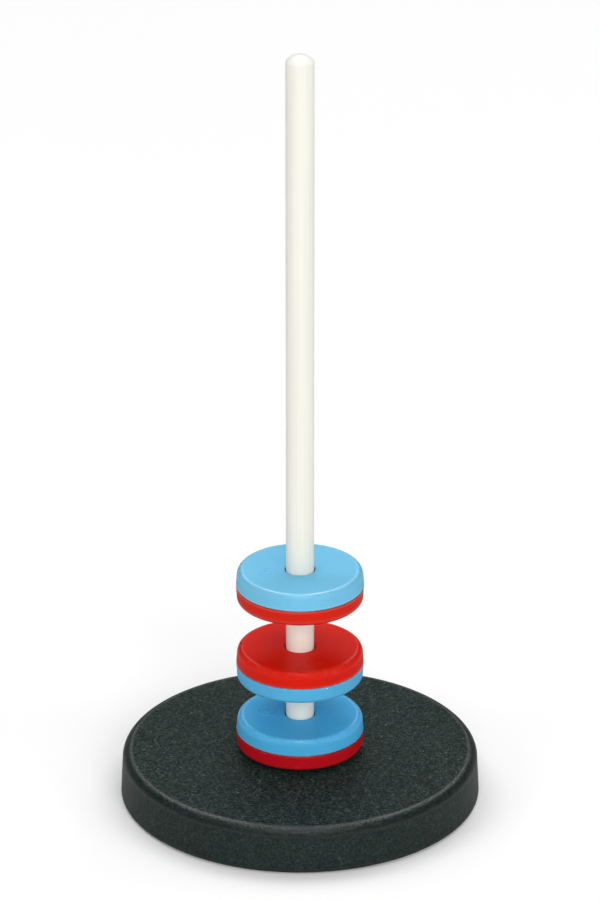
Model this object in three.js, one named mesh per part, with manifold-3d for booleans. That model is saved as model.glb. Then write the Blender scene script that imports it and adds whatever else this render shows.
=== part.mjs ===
// Floating ring magnet stand: a round moulded base carries an upright rod, and three two-colour
// ring magnets are threaded on the rod. Like poles face each other, so the rings float apart.
// Units are millimetres and +Z is up. The origin is the centre of the plane the feet stand on.

import * as THREE from "three";
import { mergeVertices } from "three/addons/utils/BufferGeometryUtils.js";
import Module from "manifold-3d";

const wasm = await Module();
wasm.setup();

// Clearances
const REST_GAP = 0.3; // between a moving ring and what it rests on
const FIT_GAP = 0.1; // between pieces that are assembled tight

// Base shell: a dish that is hollow from below
const BASE_BOTTOM_R = 51.5;
const BASE_TOP_R = 51.0;
const BASE_RIM_Z = 0.5; // the feet hold the rim this far off the table
const BASE_TOP_Z = 14.0;
const BASE_TOP_FILLET = 2.7;
const BASE_RIM_FILLET = 0.8;
const BASE_WALL = 2.4;
const COLLAR_R = 7.5; // ledge that the lowest ring rests on
const COLLAR_HEIGHT = 0.9;
const COLLAR_EDGE = 0.4;
const BOSS_R = 7.0;
const BOSS_BOTTOM_Z = 5.1;
const SOCKET_FLOOR_Z = 7.5;
const RIB_COUNT = 8;
const RIB_WIDTH = 1.6;
const RIB_BOTTOM_Z = 5.5;
const RIB_SINK = 1; // how far a rib runs into the boss and the wall

// Feet: a rubber disc with a stem that plugs into a tube under the base
const FOOT_COUNT = 4;
const FOOT_CIRCLE_R = 40;
const FOOT_R = 5;
const FOOT_THICKNESS = 1.8;
const FOOT_EDGE = 0.5;
const STEM_R = 2.2;
const STEM_LENGTH = 4.5;
const FOOT_TUBE_R = 4.2;
const FOOT_BORE_DEPTH = 5.5;
const CUT_MARGIN = 1; // how far a cutting tool starts outside the material

// Rod
const ROD_R = 4.0;
const ROD_TOP_Z = 226.1;
const ROD_DOME = 2.7; // the upper end is domed over this height
const ROD_CHAMFER = 0.5;
const PILOT_SPARE = 1; // depth of the pilot hole beyond the screw

// Screw and washer that hold the rod down from below
const SCREW_R = 1.7;
const SCREW_LENGTH = 13;
const SCREW_TIP = 1.2;
const SCREW_HEAD_R = 3.3;
const SCREW_HEAD_HEIGHT = 2.2;
const SCREW_HEAD_EDGE = 1.4;
const DRIVE_WIDTH = 0.9;
const DRIVE_LENGTH = 3.6;
const DRIVE_DEPTH = 1.1;
const WASHER_R = 5.0;
const WASHER_THICKNESS = 0.8;

// Ring magnets: a ferrite ring inside a casing of two half shells
const RING_R = 18.2; // at the seam, where a ring is widest
const RING_DRAFT = 0.2; // each half narrows by this much towards its flat face
const RING_BORE_R = 4.3;
const RING_THICKNESS = 9.7;
const RING_EDGE = 1.4;
const RING_BORE_EDGE = 0.4;
const OUTER_WALL = 1.9; // at the seam
const BORE_WALL = 1.4;
const FACE_WALL = 1.25;
const LAP_HEIGHT = 1.2; // the lower half's lip stands this far into the upper half
const SEAM_GAP = 0.06;
const MAGNET_EDGE = 0.4;

// The lowest ring rests on the collar and the others float, each turned over from the one below
const LOWER_AIR_GAP = 11.7;
const UPPER_AIR_GAP = 14.7;
const RINGS = [
  { name: "ring_bottom", gapBelow: COLLAR_HEIGHT + REST_GAP, upper: "blue", lower: "red" },
  { name: "ring_middle", gapBelow: LOWER_AIR_GAP, upper: "red", lower: "blue" },
  { name: "ring_top", gapBelow: UPPER_AIR_GAP, upper: "blue", lower: "red" },
];

// Facets round a circle, and along a rounded edge
const BASE_FACETS = 72;
const RING_FACETS = 40;
const ROD_FACETS = 36;
const SMALL_FACETS = 20;
const EDGE_STEPS = 2;
const DOME_STEPS = 4;

const FINISH = {
  black: { color: 0x2f3836, roughness: 0.62, metalness: 0 },
  white: { color: 0xf1ede0, roughness: 0.35, metalness: 0 },
  blue: { color: 0x58b4e2, roughness: 0.38, metalness: 0 },
  red: { color: 0xd6251c, roughness: 0.38, metalness: 0 },
  ferrite: { color: 0x3b3a3c, roughness: 0.7, metalness: 0.3 },
  rubber: { color: 0x17181a, roughness: 0.9, metalness: 0 },
  steel: { color: 0xb9bcc0, roughness: 0.35, metalness: 1 },
};

// ---------- outlines and solids ----------

function point(r, z) {
  return new THREE.Vector2(r, z);
}

// Points on a circle of the outline, from one angle to another, in degrees.
function arc(centreR, centreZ, radius, fromDeg, toDeg) {
  const points = [];
  for (let i = 0; i <= EDGE_STEPS; i++) {
    const angle = THREE.MathUtils.degToRad(fromDeg + ((toDeg - fromDeg) * i) / EDGE_STEPS);
    points.push(point(centreR + radius * Math.cos(angle), centreZ + radius * Math.sin(angle)));
  }
  return points;
}

// Turns an outline of (radius, height) points round the Z axis.
function turned(points, facets) {
  return new THREE.LatheGeometry(points, facets).rotateX(Math.PI / 2);
}

// Turns an outline that closes on itself, away from the axis.
function turnedLoop(points, facets) {
  return turned([...points, points[0].clone()], facets);
}

// A plain disc or shaft that stands on its lower end.
function cylinder(radius, height, facets) {
  return new THREE.CylinderGeometry(radius, radius, height, facets)
    .rotateX(Math.PI / 2)
    .translate(0, 0, height / 2);
}

function solid(geometry) {
  const bare = geometry.clone();
  bare.deleteAttribute("normal");
  bare.deleteAttribute("uv");
  const merged = mergeVertices(bare, 1e-3);
  return new wasm.Manifold(
    new wasm.Mesh({
      numProp: 3,
      vertProperties: merged.attributes.position.array,
      triVerts: new Uint32Array(merged.index.array),
    }),
  );
}

function geometryOf(body) {
  const mesh = body.getMesh();
  const geometry = new THREE.BufferGeometry();
  geometry.setAttribute("position", new THREE.BufferAttribute(mesh.vertProperties, 3));
  geometry.setIndex(new THREE.BufferAttribute(mesh.triVerts, 1));
  geometry.computeVertexNormals();
  return geometry;
}

function piece(name, finish, geometry) {
  const mesh = new THREE.Mesh(geometry, new THREE.MeshStandardMaterial(FINISH[finish]));
  mesh.name = name;
  return mesh;
}

// ---------- base shell ----------

function baseOutline() {
  const topPlateZ = BASE_TOP_Z - BASE_WALL;
  const socketR = ROD_R + FIT_GAP;
  const screwHoleR = SCREW_R + FIT_GAP;
  const collarTopZ = BASE_TOP_Z + COLLAR_HEIGHT;
  const rimCentreR = BASE_BOTTOM_R - BASE_RIM_FILLET;
  const rimCentreZ = BASE_RIM_Z + BASE_RIM_FILLET;
  const filletR = BASE_TOP_R - BASE_TOP_FILLET;
  const filletZ = BASE_TOP_Z - BASE_TOP_FILLET;
  return [
    ...arc(rimCentreR, rimCentreZ, BASE_RIM_FILLET, -90, 0),
    ...arc(filletR, filletZ, BASE_TOP_FILLET, 0, 90),
    point(COLLAR_R, BASE_TOP_Z),
    point(COLLAR_R, collarTopZ - COLLAR_EDGE),
    point(COLLAR_R - COLLAR_EDGE, collarTopZ),
    point(socketR + COLLAR_EDGE, collarTopZ),
    point(socketR, collarTopZ - COLLAR_EDGE),
    point(socketR, SOCKET_FLOOR_Z),
    point(screwHoleR, SOCKET_FLOOR_Z),
    point(screwHoleR, BOSS_BOTTOM_Z),
    point(BOSS_R, BOSS_BOTTOM_Z),
    point(BOSS_R, topPlateZ),
    point(BASE_TOP_R - BASE_WALL, topPlateZ),
    point(BASE_BOTTOM_R - BASE_WALL, BASE_RIM_Z),
  ];
}

// A radial rib between the boss and the outer wall, sunk a little into both.
function rib(angle) {
  const innerR = BOSS_R - RIB_SINK;
  const outerR = BASE_TOP_R - BASE_WALL + RIB_SINK;
  const height = BASE_TOP_Z - BASE_WALL / 2 - RIB_BOTTOM_Z;
  return new THREE.BoxGeometry(outerR - innerR, RIB_WIDTH, height)
    .translate((innerR + outerR) / 2, 0, RIB_BOTTOM_Z + height / 2)
    .rotateZ(angle);
}

function footAngle(i) {
  return (2 * Math.PI * (i + 0.5)) / FOOT_COUNT;
}

function atFoot(geometry, i, z) {
  const angle = footAngle(i);
  return geometry.translate(FOOT_CIRCLE_R * Math.cos(angle), FOOT_CIRCLE_R * Math.sin(angle), z);
}

function baseShell() {
  let body = solid(turnedLoop(baseOutline(), BASE_FACETS));
  for (let i = 0; i < RIB_COUNT; i++) {
    body = body.add(solid(rib((2 * Math.PI * i) / RIB_COUNT)));
  }
  const tubeBottomZ = FOOT_THICKNESS + FIT_GAP;
  const tubeHeight = BASE_TOP_Z - BASE_WALL / 2 - tubeBottomZ;
  for (let i = 0; i < FOOT_COUNT; i++) {
    const tube = cylinder(FOOT_TUBE_R, tubeHeight, SMALL_FACETS);
    const bore = cylinder(STEM_R + FIT_GAP, FOOT_BORE_DEPTH + CUT_MARGIN, SMALL_FACETS);
    body = body.add(solid(atFoot(tube, i, tubeBottomZ)));
    body = body.subtract(solid(atFoot(bore, i, tubeBottomZ - CUT_MARGIN)));
  }
  return piece("base_shell", "black", geometryOf(body));
}

// ---------- feet ----------

function foot(i) {
  const outline = [
    point(0, 0),
    ...arc(FOOT_R - FOOT_EDGE, FOOT_EDGE, FOOT_EDGE, -90, 0),
    point(FOOT_R, FOOT_THICKNESS),
    point(STEM_R, FOOT_THICKNESS),
    point(STEM_R, FOOT_THICKNESS + STEM_LENGTH - FOOT_EDGE),
    point(STEM_R - FOOT_EDGE, FOOT_THICKNESS + STEM_LENGTH),
    point(0, FOOT_THICKNESS + STEM_LENGTH),
  ];
  return piece(`foot_${i + 1}`, "rubber", atFoot(turned(outline, SMALL_FACETS), i, 0));
}

// ---------- rod and its fastening ----------

// The outline of the rod's upper end: a quarter of an ellipse, from its side to its tip.
function domeOutline() {
  const points = [];
  for (let i = 0; i < DOME_STEPS; i++) {
    const angle = (Math.PI / 2) * (i / DOME_STEPS);
    points.push(point(ROD_R * Math.cos(angle), ROD_TOP_Z - ROD_DOME * (1 - Math.sin(angle))));
  }
  return [...points, point(0, ROD_TOP_Z)];
}

// The pilot hole takes the screw.
function rod() {
  const bottomZ = SOCKET_FLOOR_Z + FIT_GAP;
  const pilotR = SCREW_R + FIT_GAP;
  const screwTopZ = BOSS_BOTTOM_Z - WASHER_THICKNESS - 2 * FIT_GAP + SCREW_LENGTH;
  const pilotTopZ = screwTopZ + PILOT_SPARE;
  const outline = [
    point(0, pilotTopZ + pilotR),
    point(pilotR, pilotTopZ),
    point(pilotR, bottomZ),
    point(ROD_R - ROD_CHAMFER, bottomZ),
    point(ROD_R, bottomZ + ROD_CHAMFER),
    ...domeOutline(),
  ];
  return piece("rod", "white", turned(outline, ROD_FACETS));
}

// Pan-head screw with a cross recess, head down. Its thread is a plain shank.
function rodScrew() {
  const underHeadZ = BOSS_BOTTOM_Z - WASHER_THICKNESS - 2 * FIT_GAP;
  const headBottomZ = underHeadZ - SCREW_HEAD_HEIGHT;
  const tipZ = underHeadZ + SCREW_LENGTH;
  const outline = [
    point(0, headBottomZ),
    ...arc(SCREW_HEAD_R - SCREW_HEAD_EDGE, headBottomZ + SCREW_HEAD_EDGE, SCREW_HEAD_EDGE, -90, 0),
    point(SCREW_HEAD_R, underHeadZ),
    point(SCREW_R, underHeadZ),
    point(SCREW_R, tipZ - SCREW_TIP),
    point(0, tipZ),
  ];
  let body = solid(turned(outline, SMALL_FACETS));
  for (const turn of [0, Math.PI / 2]) {
    const slot = new THREE.BoxGeometry(DRIVE_LENGTH, DRIVE_WIDTH, 2 * DRIVE_DEPTH);
    body = body.subtract(solid(slot.rotateZ(turn).translate(0, 0, headBottomZ)));
  }
  return piece("rod_screw", "steel", geometryOf(body));
}

function rodWasher() {
  const bottomZ = BOSS_BOTTOM_Z - FIT_GAP - WASHER_THICKNESS;
  const holeR = SCREW_R + FIT_GAP;
  const outline = [
    point(holeR, bottomZ),
    point(WASHER_R, bottomZ),
    point(WASHER_R, bottomZ + WASHER_THICKNESS),
    point(holeR, bottomZ + WASHER_THICKNESS),
  ];
  return piece("rod_washer", "steel", turnedLoop(outline, SMALL_FACETS * 2));
}

// ---------- ring magnets ----------

// Outline of a half shell that opens upwards, from its flat face at height 0 to the seam.
// The outer wall ends in a lap joint: a lip on one half stands inside a step in the other.
function halfShellOutline(hasLip) {
  const seamZ = RING_THICKNESS / 2 - SEAM_GAP / 2;
  const lapR = RING_R - OUTER_WALL / 2;
  const lap = hasLip
    ? [
        point(lapR - FIT_GAP / 2, seamZ),
        point(lapR - FIT_GAP / 2, seamZ + LAP_HEIGHT),
        point(RING_R - OUTER_WALL, seamZ + LAP_HEIGHT),
      ]
    : [
        point(lapR + FIT_GAP / 2, seamZ),
        point(lapR + FIT_GAP / 2, seamZ - LAP_HEIGHT - FIT_GAP),
        point(RING_R - OUTER_WALL, seamZ - LAP_HEIGHT - FIT_GAP),
      ];
  return [
    ...arc(RING_R - RING_DRAFT - RING_EDGE, RING_EDGE, RING_EDGE, -90, 0),
    point(RING_R, seamZ),
    ...lap,
    point(RING_R - OUTER_WALL, FACE_WALL),
    point(RING_BORE_R + BORE_WALL, FACE_WALL),
    point(RING_BORE_R + BORE_WALL, seamZ),
    point(RING_BORE_R, seamZ),
    ...arc(RING_BORE_R + RING_BORE_EDGE, RING_BORE_EDGE, RING_BORE_EDGE, 180, 270),
  ];
}

function lowerShell(ring, z) {
  const geometry = turnedLoop(halfShellOutline(true), RING_FACETS).translate(0, 0, z);
  return piece(`${ring.name}_lower_shell`, ring.lower, geometry);
}

function upperShell(ring, z) {
  const geometry = turnedLoop(halfShellOutline(false), RING_FACETS)
    .rotateX(Math.PI)
    .translate(0, 0, z + RING_THICKNESS);
  return piece(`${ring.name}_upper_shell`, ring.upper, geometry);
}

function magnet(ring, z) {
  const innerR = RING_BORE_R + BORE_WALL + 2 * FIT_GAP;
  const outerR = RING_R - OUTER_WALL - 2 * FIT_GAP;
  const bottomZ = FACE_WALL + FIT_GAP;
  const topZ = RING_THICKNESS - FACE_WALL - FIT_GAP;
  const outline = [
    point(innerR, bottomZ),
    point(outerR - MAGNET_EDGE, bottomZ),
    point(outerR, bottomZ + MAGNET_EDGE),
    point(outerR, topZ - MAGNET_EDGE),
    point(outerR - MAGNET_EDGE, topZ),
    point(innerR, topZ),
  ];
  const geometry = turnedLoop(outline, RING_FACETS).translate(0, 0, z);
  return piece(`${ring.name}_magnet`, "ferrite", geometry);
}

// ---------- the stand ----------

const stand = new THREE.Group();
stand.add(baseShell(), rod(), rodScrew(), rodWasher());
for (let i = 0; i < FOOT_COUNT; i++) {
  stand.add(foot(i));
}
let surfaceBelowZ = BASE_TOP_Z;
for (const ring of RINGS) {
  const z = surfaceBelowZ + ring.gapBelow;
  stand.add(lowerShell(ring, z), upperShell(ring, z), magnet(ring, z));
  surfaceBelowZ = z + RING_THICKNESS;
}

export default stand;
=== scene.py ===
"""Looks of the floating ring magnet stand: fine moulded shapes, their finishes and a soft studio."""
import math

import bmesh
import bpy
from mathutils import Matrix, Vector


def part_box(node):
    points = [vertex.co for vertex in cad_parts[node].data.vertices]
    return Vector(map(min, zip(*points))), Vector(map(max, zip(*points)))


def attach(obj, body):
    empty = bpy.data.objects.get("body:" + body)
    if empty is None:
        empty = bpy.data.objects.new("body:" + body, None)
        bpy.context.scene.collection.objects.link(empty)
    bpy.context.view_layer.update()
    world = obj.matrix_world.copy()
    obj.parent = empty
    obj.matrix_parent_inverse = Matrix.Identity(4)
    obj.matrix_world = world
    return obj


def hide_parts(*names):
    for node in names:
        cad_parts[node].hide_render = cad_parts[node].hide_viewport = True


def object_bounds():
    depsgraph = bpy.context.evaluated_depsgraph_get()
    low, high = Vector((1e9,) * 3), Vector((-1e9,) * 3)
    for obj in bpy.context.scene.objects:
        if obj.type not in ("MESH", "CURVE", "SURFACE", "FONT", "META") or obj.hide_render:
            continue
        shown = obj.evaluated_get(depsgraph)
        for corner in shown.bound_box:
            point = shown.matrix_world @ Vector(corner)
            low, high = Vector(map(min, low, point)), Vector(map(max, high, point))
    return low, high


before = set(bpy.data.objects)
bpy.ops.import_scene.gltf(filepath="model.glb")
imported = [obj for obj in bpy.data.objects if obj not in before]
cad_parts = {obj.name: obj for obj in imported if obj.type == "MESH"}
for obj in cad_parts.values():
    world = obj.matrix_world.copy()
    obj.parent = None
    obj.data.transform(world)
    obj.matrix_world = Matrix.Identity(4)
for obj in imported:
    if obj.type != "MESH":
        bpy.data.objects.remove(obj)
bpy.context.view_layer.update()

MM = 0.001

# How finely the turned pieces are drawn
ROUND_BASE = 288
ROUND_RING = 224
ROUND_ROD = 128
ROUND_SMALL = 72
EDGE_WINDOW = 0.7  # mm from a corner, or from a seam, over which its weight fades to nothing
SUPPORT = 0.35  # mm from a corner to the point that holds its shading in place
SUPPORT_REACH = 0.45  # share of a stretch that a corner's second point may be away from it
SHARP_ANGLE = 40  # degrees between two faces from which their edge is kept crisp

# Clearances, walls and details that no CAD box shows, in millimetres
FIT_GAP = 0.1
BASE_WALL = 2.4
BASE_TOP_FILLET = 2.7
BASE_RIM_FILLET = 0.8
BASE_DRAFT = 0.5  # the top is this much smaller in radius than the rim
COLLAR_R = 7.5
COLLAR_HEIGHT = 0.9
COLLAR_EDGE = 0.4
BOSS_R = 7.0
BOSS_BOTTOM = 5.1
SOCKET_FLOOR = 7.5
SCREW_HOLE_R = 1.8
RIB_COUNT = 8
RIB_WIDTH = 1.6
RIB_BOTTOM = 5.5
RIB_SINK = 1.0
FOOT_THICKNESS = 1.8
FOOT_TUBE_R = 4.2
FOOT_EDGE = 0.5
STEM_R = 2.2
FOOT_BORE_DEPTH = 5.5
FOOT_GROOVE_AT = 0.55  # share of the foot's radius
FOOT_GROOVE_REACH = 0.5  # from its middle to either edge
FOOT_GROOVE_DEPTH = 0.35
EJECTOR_R = 2.5
EJECTOR_DEPTH = 0.2
EJECTOR_CIRCLE_R = 27.0
CUT_PAST = 1.0  # how far a cutting tool sticks out of what it cuts

DOME_R = 4.15  # the domed end is a cap of this ellipse, so it meets the rod's side at a crisp edge
DOME_HEIGHT = 2.95
ROD_CHAMFER = 0.5
ROD_HOLE_DEPTH = 12.0
ROD_HOLE_CONE = 2.0

RING_EDGES = {"upper": (1.5, 2.0), "lower": (1.4, 1.4)}  # the outer edges' rounding, inwards and in height
RING_DRAFT = 0.2  # each half narrows by this much from the seam to its flat face
RING_BORE_R = 4.3
RING_BORE_EDGE = 0.4
OUTER_WALL = 1.9
BORE_WALL = 1.4
FACE_WALL = 1.25
LAP_HEIGHT = 1.2
SEAM_GAP = 0.06
SEAM_CHAMFER = 0.16

SIGN_R = 2.7
SIGN_LINE = 0.55
SIGN_HEIGHT = 0.11
SIGN_SINK = 0.15
SIGN_EDGE = 0.088
SIGN_DOT_R = 0.75
SIGN_ARM = 1.45
SIGN_ARM_EDGE = 0.08

SCREW_HEAD_EDGE = 1.4
SCREW_HEAD_HEIGHT = 2.2
SCREW_TIP = 1.2
WASHER_EDGE = 0.15
DRIVE_WIDTH = 0.9
DRIVE_LENGTH = 3.6
DRIVE_DEPTH = 1.1

# For each ring: the colour of each half, how glossy its edges are, where its moulded signs stand
# (mm from the axis, degrees), its blue and red with painted light and shade in them, and its white chips
# (degrees, mm above the seam, mm wide)
RINGS = {
    "ring_bottom": {
        "lower": "red", "upper": "blue", "polish": 0.8, "sign": (9.8, 174),
        # the bottom ring's red is darker than the other rings': painted shade
        "blue": (0.072, 0.425, 0.740), "red": (0.52, 0.0055, 0.0125),
        "chips": [(184, 1.0, 1.1), (224, 0.1, 0.3), (-8, 0.1, 0.4)],
    },
    "ring_middle": {
        "lower": "blue", "upper": "red", "polish": 0.2, "sign": (10.4, -64),
        "blue": (0.090, 0.430, 0.715), "red": (0.645, 0.011, 0.0030),
        "chips": [(-65, -0.5, 0.35)],
    },
    "ring_top": {
        "lower": "red", "upper": "blue", "polish": 0.9, "sign": (9.4, 193),
        # the top ring's blue is paler and lighter than the other rings': painted light
        "blue": (0.160, 0.500, 0.735), "red": (0.63, 0.015, 0.0035),
        "chips": [],
    },
}
WORN = {"blue": (0.40, 0.70, 0.85), "red": (0.82, 0.22, 0.17)}
CHIPPED = (0.90, 0.90, 0.87)
NOISE_START = 5  # where in the noise the first ring's marks lie
NOISE_STEP = 20  # how much further on each next ring's marks lie

# Colours of the other finishes
BASE_TONES = {
    # the grain's tones: darker in its hollows and lighter on its crests, painted shade and painted glint
    "hollow": (0.002, 0.006, 0.005),
    "crest": (0.030, 0.047, 0.042),
    "side": (0.011, 0.020, 0.018),
    # pale flecks and rare pale specks on the grain: painted glints
    "fleck_glint": (0.060, 0.080, 0.071),
    "speck_glint": (0.22, 0.25, 0.23),
    # the darker tone given to the rounded edges is painted shade
    "painted_edge_shade": (0.006, 0.011, 0.010),
}
ROD_TONES = {
    "shaded": (0.820, 0.797, 0.710),
    "pale": (0.86, 0.84, 0.76),
    "aged": (0.820, 0.820, 0.740),
    "scuffed": (0.60, 0.59, 0.55),
    # end: the whiter tone of the domed end, a painted highlight
    "end": (0.87, 0.865, 0.81),
}
RUBBER_TONES = {"clean": (0.010, 0.010, 0.011), "dusty": (0.060, 0.058, 0.055)}
STEEL_TONES = {"dull": (0.52, 0.54, 0.56), "bright": (0.66, 0.67, 0.68)}
FERRITE_TONES = {"dark": (0.030, 0.029, 0.031), "light": (0.062, 0.060, 0.064)}


# ---------- outlines ----------

def arc(centre_r, centre_z, radius, start, end, steps=8, tall=None):
    """Points on a circle of an outline, from one angle to another in degrees.

    If tall is given, they are on an ellipse whose half height it is."""
    points = []
    for i in range(steps + 1):
        angle = math.radians(start + (end - start) * i / steps)
        points.append((centre_r + radius * math.cos(angle), centre_z + (tall or radius) * math.sin(angle)))
    return points


def supported(outline):
    """Adds points near both ends of every long stretch, so that shading and wear stay at the corners."""
    points = []
    for i, (r, z) in enumerate(outline):
        following = outline[(i + 1) % len(outline)]
        points.append((r, z))
        length = math.dist((r, z), following)
        on_axis = r == 0 and following[0] == 0
        if length > 3 * SUPPORT and not on_axis:
            near, second = SUPPORT / length, 2 * SUPPORT / length
            shares = (near, second, 1 - second, 1 - near) if second < SUPPORT_REACH else (near, 1 - near)
            for share in shares:
                points.append((r + (following[0] - r) * share, z + (following[1] - z) * share))
    return points


def edge_weights(outline):
    """How much each point belongs to an outer corner: the outline's turn nearby, in right angles."""
    count = len(outline)
    turns = []
    for i in range(count):
        before, here, after = (Vector(outline[(i + k) % count]) for k in (-1, 0, 1))
        a, b = here - before, after - here
        turns.append(math.atan2(a.x * b.y - a.y * b.x, a.dot(b)) if a.length and b.length else 0.0)
    weights = []
    for here in outline:
        total = 0.0
        for there, turn in zip(outline, turns):
            total += turn * max(0.0, 1 - math.dist(here, there) / EDGE_WINDOW)
        weights.append(min(1.0, max(0.0, total / (math.pi / 2))))
    return weights


# ---------- meshes ----------

def new_object(name, bm):
    mesh = bpy.data.meshes.new(name)
    bmesh.ops.recalc_face_normals(bm, faces=bm.faces)
    bm.to_mesh(mesh)
    bm.free()
    obj = bpy.data.objects.new(name, mesh)
    bpy.context.scene.collection.objects.link(obj)
    return obj


def turned(name, outline, rounds, seam_z=None, centre=(0.0, 0.0), rubbed_from=0.0):
    """A solid turned about an upright axis from a counter-clockwise outline of (radius, height), in mm.

    Every vertex stores "edge", how much it belongs to an outer corner that gets rubbed, and "seam", how
    near it is to the height seam_z. Corners closer to the axis than rubbed_from don't get rubbed."""
    outline = supported(outline)
    bm = bmesh.new()
    edge_layer = bm.verts.layers.float.new("edge")
    seam_layer = bm.verts.layers.float.new("seam")
    rows = []
    for (r, z), edge in zip(outline, edge_weights(outline)):
        seam = 0.0 if seam_z is None else max(0.0, 1 - abs(z - seam_z) / EDGE_WINDOW)
        if r <= rubbed_from:
            edge = 0.0
        row = []
        for k in range(rounds if r > 0 else 1):
            angle = 2 * math.pi * k / rounds
            x, y = centre[0] + r * math.cos(angle), centre[1] + r * math.sin(angle)
            vertex = bm.verts.new((x * MM, y * MM, z * MM))
            vertex[edge_layer], vertex[seam_layer] = edge, seam
            row.append(vertex)
        rows.append(row)
    for row, following in zip(rows, rows[1:] + rows[:1]):
        join_rows(bm, row, following, rounds)
    return new_object(name, bm)


def join_rows(bm, row, following, rounds):
    """Faces between two rows of vertices, either of which may be a single vertex on the axis."""
    if len(row) == 1 and len(following) == 1:
        return
    for k in range(rounds):
        after = (k + 1) % rounds
        corners = [row[k % len(row)], row[after % len(row)]]
        corners += [following[after % len(following)], following[k % len(following)]]
        bm.faces.new(list(dict.fromkeys(corners)))


def block(name, size, centre, turn):
    """A box in millimetres, turned about Z."""
    bm = bmesh.new()
    bmesh.ops.create_cube(bm, size=1.0)
    bmesh.ops.scale(bm, vec=Vector(size) * MM, verts=bm.verts)
    cos, sin = math.cos(turn), math.sin(turn)
    for vertex in bm.verts:
        x, y, z = vertex.co + Vector(centre) * MM
        vertex.co = (x * cos - y * sin, x * sin + y * cos, z)
    return new_object(name, bm)


def boolean(target, tool, operation):
    """Joins tool to target or cuts it out of target, and removes tool."""
    modifier = target.modifiers.new("cut", "BOOLEAN")
    modifier.operation, modifier.solver, modifier.object = operation, "EXACT", tool
    graph = bpy.context.evaluated_depsgraph_get()
    mesh = bpy.data.meshes.new_from_object(target.evaluated_get(graph), depsgraph=graph)
    target.modifiers.clear()
    target.data = mesh
    bpy.data.objects.remove(tool)


def shade(obj):
    """Smooth shading, with the sharper edges kept crisp."""
    bm = bmesh.new()
    bm.from_mesh(obj.data)
    for face in bm.faces:
        face.smooth = True
    for edge in bm.edges:
        edge.smooth = edge.calc_face_angle(math.pi) < math.radians(SHARP_ANGLE)
    bm.to_mesh(obj.data)
    bm.free()


def finish_piece(obj, material, body, node):
    """Gives a new piece its finish and puts it on its body in place of the CAD node."""
    shade(obj)
    obj.data.materials.clear()
    obj.data.materials.append(material)
    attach(obj, body)
    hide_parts(node)


def span(node):
    """A CAD node's lowest and highest corners in millimetres."""
    low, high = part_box(node)
    return low / MM, high / MM


# ---------- base, feet, rod and fastening ----------

def base_outline(rim_r, rim_z, collar_top):
    """The dish's section: its side, its top up to the collar, the rod's socket, and the hollow below."""
    top_z = collar_top - COLLAR_HEIGHT
    top_r = rim_r - BASE_DRAFT
    plate_z = top_z - BASE_WALL
    socket_r = rod_radius() + FIT_GAP
    return [
        *arc(rim_r - BASE_RIM_FILLET, rim_z + BASE_RIM_FILLET, BASE_RIM_FILLET, -90, 0),
        *arc(top_r - BASE_TOP_FILLET, top_z - BASE_TOP_FILLET, BASE_TOP_FILLET, 0, 90, 12),
        (COLLAR_R, top_z),
        *arc(COLLAR_R - COLLAR_EDGE, collar_top - COLLAR_EDGE, COLLAR_EDGE, 0, 90, 4),
        (socket_r + COLLAR_EDGE, collar_top),
        (socket_r, collar_top - COLLAR_EDGE),
        (socket_r, SOCKET_FLOOR),
        (SCREW_HOLE_R, SOCKET_FLOOR),
        (SCREW_HOLE_R, BOSS_BOTTOM),
        (BOSS_R, BOSS_BOTTOM),
        (BOSS_R, plate_z),
        (top_r - BASE_WALL, plate_z),
        (rim_r - BASE_WALL, rim_z),
    ]


def rod_radius():
    low, high = span("rod")
    return (high.x - low.x) / 2


def foot_centre(node):
    low, high = span(node)
    return ((low.x + high.x) / 2, (low.y + high.y) / 2)


def cylinder_outline(radius, bottom, top):
    return [(0, bottom), (radius, bottom), (radius, top), (0, top)]


def build_base(feet):
    """The moulded dish with its ribs, foot tubes and ejector marks underneath."""
    low, high = span("base_shell")
    plate_z = high.z - COLLAR_HEIGHT - BASE_WALL
    base = turned("base_shell_moulding", base_outline(high.x, low.z, high.z), ROUND_BASE)
    inner_r, outer_r = BOSS_R - RIB_SINK, high.x - BASE_DRAFT - BASE_WALL + RIB_SINK
    height = plate_z + RIB_SINK - RIB_BOTTOM
    for i in range(RIB_COUNT):
        centre = ((inner_r + outer_r) / 2, 0, RIB_BOTTOM + height / 2)
        rib = block("rib", (outer_r - inner_r, RIB_WIDTH, height), centre, 2 * math.pi * i / RIB_COUNT)
        boolean(base, rib, "UNION")
    tube_z = FOOT_THICKNESS + FIT_GAP
    for node in feet:
        centre = foot_centre(node)
        tube = cylinder_outline(FOOT_TUBE_R, tube_z, plate_z + RIB_SINK)
        bore = cylinder_outline(STEM_R + FIT_GAP, tube_z - CUT_PAST, tube_z + FOOT_BORE_DEPTH)
        boolean(base, turned("tube", tube, ROUND_SMALL, centre=centre), "UNION")
        boolean(base, turned("bore", bore, ROUND_SMALL, centre=centre), "DIFFERENCE")
    for i in range(RIB_COUNT):
        angle = 2 * math.pi * (i + 0.5) / RIB_COUNT
        centre = (EJECTOR_CIRCLE_R * math.cos(angle), EJECTOR_CIRCLE_R * math.sin(angle))
        mark = cylinder_outline(EJECTOR_R, plate_z - CUT_PAST, plate_z + EJECTOR_DEPTH)
        boolean(base, turned("mark", mark, ROUND_SMALL, centre=centre), "DIFFERENCE")
    return base


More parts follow.
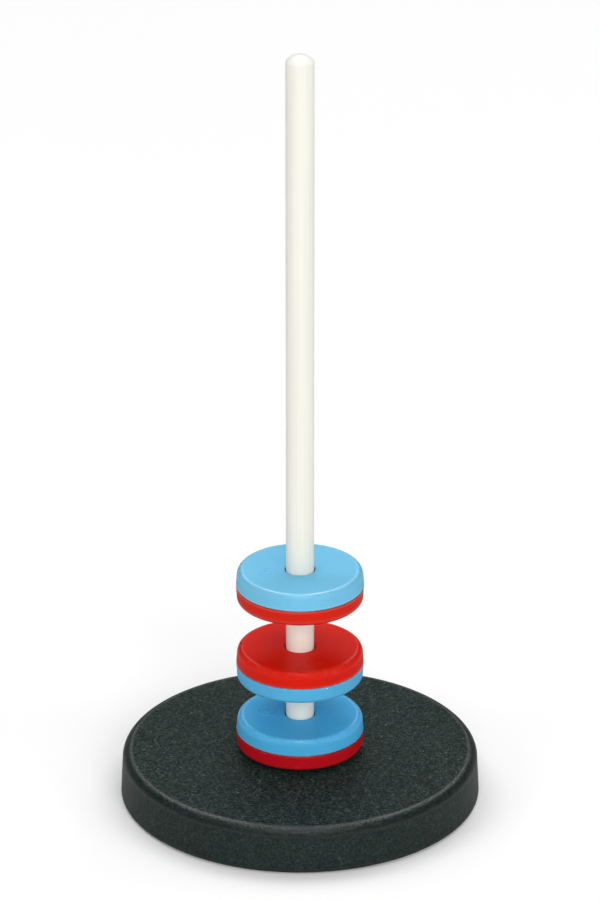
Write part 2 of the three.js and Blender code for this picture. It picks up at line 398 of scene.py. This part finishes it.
def foot_outline(radius, stem_top):
    """A disc with a shallow groove in its tread, and a stem."""
    groove_r = radius * FOOT_GROOVE_AT
    return [
        (0, 0),
        (groove_r - FOOT_GROOVE_REACH, 0),
        (groove_r, FOOT_GROOVE_DEPTH),
        (groove_r + FOOT_GROOVE_REACH, 0),
        *arc(radius - FOOT_EDGE, FOOT_EDGE, FOOT_EDGE, -90, 0),
        (radius, FOOT_THICKNESS),
        (STEM_R, FOOT_THICKNESS),
        (STEM_R, stem_top - FOOT_EDGE),
        (STEM_R - FOOT_EDGE, stem_top),
        (0, stem_top),
    ]


def build_foot(node):
    low, high = span(node)
    outline = foot_outline((high.x - low.x) / 2, high.z)
    return turned(f"{node}_pad", outline, ROUND_SMALL, centre=foot_centre(node))


def build_rod():
    """The upright rod, with a blind hole for the screw in its lower end and a domed upper end."""
    low, high = span("rod")
    radius = rod_radius()
    rim = math.degrees(math.acos(radius / DOME_R))
    hole_z = low.z + FIT_GAP + ROD_HOLE_DEPTH
    outline = [
        (0, hole_z + ROD_HOLE_CONE),
        (SCREW_HOLE_R, hole_z),
        (SCREW_HOLE_R, low.z),
        (radius - ROD_CHAMFER, low.z),
        (radius, low.z + ROD_CHAMFER),
        *arc(0, high.z - DOME_HEIGHT, DOME_R, rim, 90, 16, DOME_HEIGHT)[:-1],
        (0, high.z),
    ]
    return turned("rod_post", outline, ROUND_ROD)


def build_screw():
    """A pan-head screw seen from below, with a cross recess."""
    low, high = span("rod_screw")
    head_r = (high.x - low.x) / 2
    shank_r, head_top = SCREW_HOLE_R - FIT_GAP, low.z + SCREW_HEAD_HEIGHT
    outline = [
        (0, low.z),
        *arc(head_r - SCREW_HEAD_EDGE, low.z + SCREW_HEAD_EDGE, SCREW_HEAD_EDGE, -90, 0),
        (head_r, head_top),
        (shank_r, head_top),
        (shank_r, high.z - SCREW_TIP),
        (0, high.z),
    ]
    screw = turned("rod_screw_pan_head", outline, ROUND_SMALL)
    for turn in (0, math.pi / 2):
        slot = block("slot", (DRIVE_LENGTH, DRIVE_WIDTH, 2 * DRIVE_DEPTH), (0, 0, low.z), turn)
        boolean(screw, slot, "DIFFERENCE")
    return screw


def build_washer():
    low, high = span("rod_washer")
    edge_r = (high.x - low.x) / 2 - WASHER_EDGE
    outline = [
        (SCREW_HOLE_R, low.z),
        *arc(edge_r, low.z + WASHER_EDGE, WASHER_EDGE, -90, 0, 3),
        *arc(edge_r, high.z - WASHER_EDGE, WASHER_EDGE, 0, 90, 3),
        (SCREW_HOLE_R, high.z),
    ]
    return turned("rod_washer_disc", outline, ROUND_SMALL)


# ---------- ring casings ----------

def shell_outline(radius, seam_z, edge, has_lip):
    """A half shell's section: its flat face is at height 0, and its seam has the radius."""
    edge_width, edge_height = edge
    lap_r, inner_r = radius - OUTER_WALL / 2, radius - OUTER_WALL
    if has_lip:
        lap_r, lap_z = lap_r - FIT_GAP / 2, seam_z + LAP_HEIGHT
    else:
        lap_r, lap_z = lap_r + FIT_GAP / 2, seam_z - LAP_HEIGHT - FIT_GAP
    return [
        *arc(radius - RING_DRAFT - edge_width, edge_height, edge_width, -90, 0, 12, edge_height),
        (radius, seam_z - SEAM_CHAMFER),
        (radius - SEAM_CHAMFER, seam_z),
        (lap_r, seam_z),
        (lap_r, lap_z),
        (inner_r, lap_z),
        (inner_r, FACE_WALL),
        (RING_BORE_R + BORE_WALL, FACE_WALL),
        (RING_BORE_R + BORE_WALL, seam_z),
        (RING_BORE_R, seam_z),
        *arc(RING_BORE_R + RING_BORE_EDGE, RING_BORE_EDGE, RING_BORE_EDGE, 180, 270, 5),
    ]


def plus_prism(name, arm, half_width, bottom, top, centre):
    """An upright prism with the outline of a plus sign, turned an eighth, its upper edges rounded."""
    corners = []
    for quarter in range(4):
        angle = math.pi / 2 * quarter + math.pi / 4
        along = Vector((math.cos(angle), math.sin(angle)))
        across = Vector((-along.y, along.x))
        corners.append(along * half_width - across * half_width)
        corners.append(along * arm - across * half_width)
        corners.append(along * arm + across * half_width)
    bm = bmesh.new()
    lower = [bm.verts.new(((x + centre[0]) * MM, (y + centre[1]) * MM, bottom * MM)) for x, y in corners]
    made = bmesh.ops.extrude_face_region(bm, geom=[bm.faces.new(lower)])
    upper = [v for v in made["geom"] if isinstance(v, bmesh.types.BMVert)]
    bmesh.ops.translate(bm, vec=(0, 0, (top - bottom) * MM), verts=upper)
    rim = [e for e in bm.edges if all(v in upper for v in e.verts)]
    bmesh.ops.bevel(bm, geom=rim, offset=SIGN_ARM_EDGE * MM, segments=2, profile=0.5, affect="EDGES")
    return new_object(name, bm)


def sign_parts(pole, face_z, outward, centre):
    """A moulded polarity sign: a circle with a dot on the red pole and with a cross on the blue one."""
    bottom, top = sorted((face_z - outward * SIGN_SINK, face_z + outward * SIGN_HEIGHT))
    rim = [*rounded_side(SIGN_R, bottom, top, 1), *rounded_side(SIGN_R - SIGN_LINE, bottom, top, -1)]
    parts = [turned("sign_rim", rim, ROUND_SMALL, centre=centre, rubbed_from=SIGN_R)]
    if pole == "red":
        dot = [(0, bottom), *rounded_side(SIGN_DOT_R, bottom, top, 1), (0, top)]
        parts.append(turned("sign_dot", dot, ROUND_SMALL // 2, centre=centre, rubbed_from=SIGN_R))
    else:
        parts.append(plus_prism("sign_cross", SIGN_ARM, SIGN_LINE / 2, bottom, top, centre))
    return parts


def rounded_side(radius, bottom, top, facing):
    """A sign's side with rounded corners, going up if it faces outwards, 1, and down if inwards, -1."""
    centre_r = radius - facing * SIGN_EDGE
    lower = (centre_r, bottom + SIGN_EDGE, SIGN_EDGE)
    upper = (centre_r, top - SIGN_EDGE, SIGN_EDGE)
    if facing > 0:
        return [*arc(*lower, -90, 0, 4), *arc(*upper, 0, 90, 4)]
    return [*arc(*upper, 90, 180, 4), *arc(*lower, 180, 270, 4)]


def build_half(ring, half):
    """One half of a ring's casing, with its polarity sign on the outer face."""
    low, _ = span(f"{ring}_lower_shell")
    _, high = span(f"{ring}_upper_shell")
    radius, thickness = high.x, high.z - low.z
    seam_z = low.z + thickness / 2
    sign_r, sign_angle = RINGS[ring]["sign"]
    outline = shell_outline(radius, thickness / 2 - SEAM_GAP / 2, RING_EDGES[half], has_lip=half == "lower")
    if half == "lower":
        outline = [(r, low.z + z) for r, z in outline]
        face_z, outward, angle = low.z, -1, math.radians(-sign_angle)
    else:
        outline = [(r, high.z - z) for r, z in reversed(outline)]
        face_z, outward, angle = high.z, 1, math.radians(sign_angle)
    shell = turned(f"{ring}_{half}_casing", outline, ROUND_RING, seam_z=seam_z, rubbed_from=radius / 2)
    centre = (sign_r * math.cos(angle), sign_r * math.sin(angle))
    for part in sign_parts(RINGS[ring][half], face_z, outward, centre):
        boolean(shell, part, "UNION")
    return shell


# ---------- materials ----------

class Nodes:
    """A node tree and a short way to add nodes to it."""

    def __init__(self, tree):
        self.tree = tree

    def node(self, kind, settings=None, **inputs):
        made = self.tree.nodes.new(kind)
        for key, value in (settings or {}).items():
            setattr(made, key, value)
        for key, value in inputs.items():
            self.feed(made.inputs[key.replace("_", " ")], value)
        return made

    def feed(self, socket, value):
        if isinstance(value, bpy.types.NodeSocket):
            self.tree.links.new(value, socket)
        elif socket.type == "RGBA":
            socket.default_value = (*value, 1.0)
        else:
            socket.default_value = value

    def ramp(self, value, low, high, out_low=0.0, out_high=1.0):
        """The value carried from one range over to another, and held at the ends."""
        ranges = {"From_Min": low, "From_Max": high, "To_Min": out_low, "To_Max": out_high}
        return self.node("ShaderNodeMapRange", Value=value, **ranges).outputs["Result"]

    def math(self, operation, a, b=0.0):
        made = self.node("ShaderNodeMath", {"operation": operation})
        self.feed(made.inputs[0], a)
        self.feed(made.inputs[1], b)
        return made.outputs[0]

    def plus(self, a, b):
        return self.math("ADD", a, b)

    def times(self, a, b):
        return self.math("MULTIPLY", a, b)


class Finish(Nodes):
    """A material and its nodes. Places are metres in the stand's frame at rest, and sizes are millimetres."""

    def __init__(self, name):
        self.material = bpy.data.materials.new(name)
        self.material.use_nodes = True
        super().__init__(self.material.node_tree)
        self.shader = next(n for n in self.tree.nodes if n.type == "BSDF_PRINCIPLED")
        self.place = self.node("ShaderNodeTexCoord").outputs["Object"]

    def stretched(self, x, y, z):
        return self.node("ShaderNodeMapping", Vector=self.place, Scale=(x, y, z)).outputs[0]

    def noise(self, size_mm, detail=2.0, rough=0.5, vector=None, offset=0.0):
        settings = {"noise_dimensions": "4D"}
        sizes = {"W": offset, "Scale": 1 / (size_mm * MM), "Detail": detail, "Roughness": rough}
        return self.node("ShaderNodeTexNoise", settings, Vector=vector or self.place, **sizes).outputs["Fac"]

    def cells(self, size_mm, feature="F1"):
        scale = 1 / (size_mm * MM)
        made = self.node("ShaderNodeTexVoronoi", {"feature": feature}, Vector=self.place, Scale=scale)
        return made.outputs["Distance"]

    def mix(self, share, a, b):
        made = self.node("ShaderNodeMix", {"data_type": "RGBA"}, Factor=share)
        colours = [socket for socket in made.inputs if socket.type == "RGBA"]
        self.feed(colours[0], a)
        self.feed(colours[1], b)
        return next(socket for socket in made.outputs if socket.type == "RGBA")

    def distance(self, spot):
        made = self.node("ShaderNodeVectorMath", {"operation": "DISTANCE"})
        self.feed(made.inputs[0], self.place)
        self.feed(made.inputs[1], spot)
        return made.outputs["Value"]

    def stored(self, name):
        return self.node("ShaderNodeAttribute", {"attribute_name": name}).outputs["Fac"]

    def facing_up(self):
        """The height of the surface's normal: 1 on top, 0 on an upright side."""
        normal = self.node("ShaderNodeNewGeometry").outputs["True Normal"]
        return self.node("ShaderNodeSeparateXYZ", Vector=normal).outputs["Z"]

    def bump(self, height, depth_mm, strength=1.0, below=None):
        made = self.node("ShaderNodeBump", Height=height, Strength=strength, Distance=depth_mm * MM)
        if below is not None:
            self.feed(made.inputs["Normal"], below)
        return made.outputs["Normal"]

    def set(self, **inputs):
        for key, value in inputs.items():
            self.feed(self.shader.inputs[key.replace("_", " ")], value)
        return self.material


def shade_of(colour, factor):
    return tuple(min(1.0, c * factor) for c in colour)


def chipped(f, body, ring):
    """Small white chips where a ring has knocked against something."""
    low, high = span(f"{ring}_lower_shell")[0], span(f"{ring}_upper_shell")[1]
    for degrees, above, width_mm in RINGS[ring]["chips"]:
        angle, width = math.radians(degrees), width_mm * MM
        spot = Vector((high.x * math.cos(angle), high.x * math.sin(angle), (low.z + high.z) / 2 + above)) * MM
        ragged = f.plus(f.distance(spot), f.times(f.noise(width_mm * 0.6, 2), width * 0.8))
        body = f.mix(f.ramp(ragged, width, width * 0.75), body, CHIPPED)
    return body


def casing_finish(name, ring, pole, offset):
    """Smooth moulded plastic with a faint orange peel, handling marks, rubbed edges and a few chips."""
    f = Finish(name)
    colour = RINGS[ring][pole]
    drift = f.ramp(f.noise(14, 2, offset=offset), 0.3, 0.7)
    fine = f.ramp(f.noise(0.5, 2, offset=offset), 0.35, 0.65)
    body = f.mix(drift, shade_of(colour, 0.95), shade_of(colour, 1.04))
    body = f.mix(f.times(fine, 0.25), body, shade_of(colour, 0.93))
    patch = f.ramp(f.noise(1.6, 3, 0.65, offset=offset + 3), 0.52, 0.66)
    rubbed = f.times(f.times(f.stored("edge"), patch), 0.28)
    body = f.mix(rubbed, body, WORN[pole])
    seam_line = f.ramp(f.stored("seam"), 0.72, 0.98)
    body = f.mix(f.times(seam_line, 0.55), body, shade_of(colour, 0.35))
    body = chipped(f, body, ring)
    smudge = f.ramp(f.noise(6, 4, 0.6, offset=offset + 11), 0.4, 0.7, 0.42, 0.50)
    polish = f.ramp(f.stored("edge"), 0.0, 0.3)
    roughness = f.math("SUBTRACT", smudge, f.times(polish, 0.16))
    gloss = f.plus(0.09, f.times(polish, RINGS[ring]["polish"]))
    peel = f.bump(f.noise(1.1, 1, offset=offset), 0.007, 0.5)
    scratches = f.noise(1.0, 3, 0.7, vector=f.stretched(0.35, 6, 1), offset=offset + 2)
    relief = f.bump(f.ramp(scratches, 0.66, 0.74), 0.004, 0.35, below=peel)
    return f.set(Base_Color=body, Roughness=roughness, Normal=relief, Specular_IOR_Level=gloss)


def base_finish():
    """Black plastic: a pebble grain on top whose colour carries painted glint and shade, with pale flecks
    that are painted glints, a smoother side, and glossy rounded edges painted darker as painted shade.
    """
    f = Finish("black_pebble_plastic")
    up = f.ramp(f.facing_up(), 0.3, 0.95, 0.45, 1.0)
    pebble = f.cells(0.85, feature="SMOOTH_F1")
    grit = f.noise(0.6, 3, 0.7)
    height = f.math("SUBTRACT", f.times(grit, 1.2), f.times(pebble, 0.8))
    # painted glint and shade: the grain's colour is lighter where its bumps rise and darker where they sink
    grain = f.mix(f.ramp(grit, 0.42, 0.60), BASE_TONES["hollow"], BASE_TONES["crest"])
    body = f.mix(up, BASE_TONES["side"], grain)
    # painted glints: pale flecks, on the top only
    fleck_glint = f.times(f.ramp(f.noise(0.95, 3, 0.65, offset=7), 0.54, 0.64), up)
    body = f.mix(f.times(fleck_glint, 0.70), body, BASE_TONES["fleck_glint"])
    # painted glints: rare pale specks, mostly on the top
    speck_glint = f.ramp(f.cells(1.7), 0.13, 0.07)
    rare = f.times(f.ramp(f.noise(5, 2, offset=5), 0.48, 0.56), f.ramp(up, 0.45, 1.0, 0.25, 1.0))
    body = f.mix(f.times(speck_glint, rare), body, BASE_TONES["speck_glint"])
    polish = f.ramp(f.stored("edge"), 0.02, 0.15)
    # painted shade: the rounded edges are painted darker, standing in for the dark surroundings they mirror;
    # the gloss below is real
    body = f.mix(f.times(polish, 0.45), body, BASE_TONES["painted_edge_shade"])
    roughness = f.ramp(f.noise(5, 3, 0.6, offset=2), 0.3, 0.7, 0.32, 0.42)
    gloss = f.plus(f.ramp(up, 0.45, 1.0, 0.24, 0.04), f.times(polish, 0.38))
    relief = f.bump(height, 0.16, f.math("SUBTRACT", up, f.times(polish, 0.2)))
    return f.set(Base_Color=body, Roughness=roughness, Normal=relief, Specular_IOR_Level=gloss)


def rod_finish():
    """Off-white rod with faint drawn lines along it, light scuffs from the rings, and a painted highlight
    that makes its domed end whiter where it faces up.
    """
    f = Finish("off_white_plastic")
    streak = f.noise(1.0, 2, vector=f.stretched(1.4, 1.4, 0.02))
    drift = f.ramp(f.noise(22, 2), 0.4, 0.7)
    body = f.mix(f.ramp(streak, 0.35, 0.65), ROD_TONES["shaded"], ROD_TONES["pale"])
    body = f.mix(f.times(drift, 0.35), body, ROD_TONES["aged"])
    scuff = f.ramp(f.noise(1.0, 3, 0.7, vector=f.stretched(0.5, 0.5, 3.2), offset=4), 0.63, 0.72)
    body = f.mix(f.times(scuff, 0.18), body, ROD_TONES["scuffed"])
    # painted highlight: the domed end turns whiter where it faces up
    body = f.mix(f.ramp(f.facing_up(), 0.25, 0.55), body, ROD_TONES["end"])
    roughness = f.ramp(f.noise(4, 3, 0.6, offset=6), 0.3, 0.7, 0.33, 0.45)
    lines = f.bump(streak, 0.008, 0.5)
    relief = f.bump(scuff, 0.006, 0.6, below=lines)
    return f.set(Base_Color=body, Roughness=roughness, Normal=relief, Specular_IOR_Level=0.45)


def rubber_finish():
    """Matte black rubber with dust in its pores."""
    f = Finish("black_rubber")
    pores = f.noise(0.35, 3, 0.65)
    dust = f.ramp(f.noise(2.5, 3, 0.6), 0.5, 0.75)
    body = f.mix(f.times(dust, 0.35), RUBBER_TONES["clean"], RUBBER_TONES["dusty"])
    roughness = f.ramp(pores, 0.3, 0.7, 0.78, 0.95)
    return f.set(Base_Color=body, Roughness=roughness, Normal=f.bump(pores, 0.04, 0.6))


def steel_finish():
    """Zinc-plated steel with a mottled coating."""
    f = Finish("zinc_plated_steel")
    mottle = f.noise(0.9, 3, 0.6)
    body = f.mix(f.ramp(mottle, 0.35, 0.65), STEEL_TONES["dull"], STEEL_TONES["bright"])
    roughness = f.ramp(f.noise(0.4, 2), 0.3, 0.7, 0.26, 0.42)
    return f.set(Base_Color=body, Metallic=1.0, Roughness=roughness, Normal=f.bump(mottle, 0.01, 0.5))


def ferrite_finish():
    """Sintered ferrite: charcoal grey, fine-grained and slightly metallic."""
    f = Finish("sintered_ferrite")
    grit = f.noise(0.18, 3, 0.7)
    body = f.mix(f.ramp(grit, 0.35, 0.65), FERRITE_TONES["dark"], FERRITE_TONES["light"])
    roughness = f.ramp(grit, 0.3, 0.7, 0.55, 0.75)
    return f.set(Base_Color=body, Metallic=0.25, Roughness=roughness, Normal=f.bump(grit, 0.02, 0.7))


# ---------- the stand ----------

def dress_stand():
    feet = sorted(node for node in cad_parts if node.startswith("foot_"))
    finish_piece(build_base(feet), base_finish(), "stand", "base_shell")
    finish_piece(build_rod(), rod_finish(), "stand", "rod")
    steel, rubber = steel_finish(), rubber_finish()
    finish_piece(build_screw(), steel, "stand", "rod_screw")
    finish_piece(build_washer(), steel, "stand", "rod_washer")
    for node in feet:
        finish_piece(build_foot(node), rubber, "stand", node)


def dress_rings():
    """New casings for the rings, and a finish for the magnets inside them, which keep their CAD shapes."""
    ferrite = ferrite_finish()
    for number, ring in enumerate(RINGS):
        for half in ("lower", "upper"):
            pole = RINGS[ring][half]
            offset = NOISE_START + NOISE_STEP * number
            finish = casing_finish(f"{pole}_casing_{number + 1}", ring, pole, offset)
            node = f"{ring}_{half}_shell"
            finish_piece(build_half(ring, half), finish, f"{ring}_casing", node)
        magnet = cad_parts[f"{ring}_magnet"]
        magnet.material_slots[0].link = "OBJECT"
        magnet.material_slots[0].material = ferrite


# ---------- studio ----------

CAMERA_TILT = math.radians(24.43)
CAMERA_DISTANCE = 1.681  # metres, as are all lengths of the studio
CAMERA_AIM = 0.4761  # share of the stand's height that the camera looks at
CAMERA_LENS = 239.2  # mm, on a sensor of the next size
CAMERA_SENSOR = 36.0
FLOOR_SIZE = 8.0
FLOOR_TONES = ((0.95, 0.95, 0.95), (0.98, 0.98, 0.98))  # as the camera sees it
FLOOR_MIRRORED = (0.38, 0.38, 0.38)  # as the stand mirrors it
FLOOR_THROWN = (0.76, 0.76, 0.76)  # as it throws light back at the stand
FLOOR_FADE = (0.25, 1.1)  # how far away the floor starts to turn white, and is all white
WORLD_HORIZON = 0.02
WORLD_OVERHEAD = 0.38
WORLD_RISE = (0.36, 0.55)  # heights of a direction between which the world brightens
STRIP_STRENGTH = 5.2  # a soft strip overhead, from front to back, which the stand's edges mirror
STRIP_RISE = (0.47, 0.58)  # heights of a direction between which the strip begins
STRIP_SIDES = (0.06, 0.32)  # how far to a side it starts to fade, and ends
STRIP_BACK = (-0.10, 0.35)  # how far to the back it starts to grow, and is full
STRIP_FRONT_SHARE = 0.40  # its strength in front
LIGHT_AIM = 0.3  # share of the stand's height that the soft boxes point at
SOFT_BOXES = {  # where each one hangs, its width and height, and its watts
    "overhead": ((0, 0.70, 1.41), (2.6, 0.9), 17),
    "front": ((0.35, -1.9, 1.0), (1.4, 0.9), 23.5),
    "right": ((1.5, -0.9, 0.6), (0.9, 1.1), 8),
    "left": ((-1.5, -0.9, 0.6), (0.9, 1.1), 9.5),
}


def placed(name, data, place, direction):
    """A camera or light at a place, looking in a direction."""
    obj = bpy.data.objects.new(name, data)
    obj.location = place
    obj.rotation_mode = "QUATERNION"
    obj.rotation_quaternion = direction.to_track_quat("-Z", "Y")
    bpy.context.scene.collection.objects.link(obj)
    return obj


def build_camera(height):
    aim = Vector((0, 0, height * CAMERA_AIM))
    back = Vector((0, -math.cos(CAMERA_TILT), math.sin(CAMERA_TILT)))
    data = bpy.data.cameras.new("camera")
    data.lens, data.sensor_width = CAMERA_LENS, CAMERA_SENSOR
    bpy.context.scene.camera = placed("camera", data, aim + back * CAMERA_DISTANCE, -back)


def build_soft_boxes(height):
    """Soft boxes that light the stand. They are neither in the picture nor mirrored in the stand."""
    aim = Vector((0, 0, height * LIGHT_AIM))
    for name, (place, size, watts) in SOFT_BOXES.items():
        data = bpy.data.lights.new(name, "AREA")
        data.shape, data.size, data.size_y, data.energy = "RECTANGLE", *size, watts
        light = placed(name, data, place, aim - Vector(place))
        light.visible_camera = False
        light.visible_glossy = False


def build_floor():
    """A pale floor that gives the stand less light than it shows the camera, and is white far away."""
    bm = bmesh.new()
    bmesh.ops.create_grid(bm, x_segments=8, y_segments=8, size=FLOOR_SIZE / 2)
    floor = new_object("floor", bm)
    f = Finish("pale_floor")
    ray = f.node("ShaderNodeLightPath").outputs
    seen = f.mix(f.ramp(f.noise(400, 3), 0.3, 0.7), *FLOOR_TONES)
    unseen = f.mix(ray["Is Diffuse Ray"], FLOOR_MIRRORED, FLOOR_THROWN)
    tone = f.mix(ray["Is Camera Ray"], unseen, seen)
    far = f.times(f.ramp(f.distance((0.0, 0.0, 0.0)), *FLOOR_FADE), ray["Is Camera Ray"])
    tone = f.mix(far, tone, (0.0, 0.0, 0.0))
    f.set(Emission_Color=(1.0, 1.0, 1.0), Emission_Strength=far)
    floor.data.materials.append(f.set(Base_Color=tone, Roughness=0.9, Specular_IOR_Level=0.1))


def build_world():
    """White to the camera, dim at the horizon to what it lights, and a soft strip to what mirrors it."""
    world = bpy.data.worlds.new("studio")
    world.use_nodes = True
    w = Nodes(world.node_tree)
    background = next(n for n in w.tree.nodes if n.type == "BACKGROUND")
    direction = w.node("ShaderNodeTexCoord").outputs["Generated"]
    x, y, z = w.node("ShaderNodeSeparateXYZ", Vector=direction).outputs
    strip = w.times(w.ramp(z, *STRIP_RISE), w.ramp(w.math("ABSOLUTE", x), *STRIP_SIDES, 1.0, 0.0))
    strip = w.times(strip, w.ramp(y, *STRIP_BACK, STRIP_FRONT_SHARE, 1.0))
    mirrored = w.plus(WORLD_HORIZON, w.times(strip, STRIP_STRENGTH))
    lit = w.ramp(z, *WORLD_RISE, WORLD_HORIZON, WORLD_OVERHEAD)
    ray = w.node("ShaderNodeLightPath").outputs
    strength = w.node("ShaderNodeMix", Factor=ray["Is Glossy Ray"], A=lit, B=mirrored).outputs["Result"]
    strength = w.node("ShaderNodeMix", Factor=ray["Is Camera Ray"], A=strength, B=1.0).outputs["Result"]
    w.feed(background.inputs["Strength"], strength)
    w.feed(background.inputs["Color"], (1.0, 1.0, 1.0))
    bpy.context.scene.world = world


def build_studio():
    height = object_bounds()[1].z
    build_camera(height)
    build_floor()
    build_world()
    build_soft_boxes(height)
    bpy.context.scene.view_settings.view_transform = "Standard"


dress_stand()
dress_rings()
build_studio()
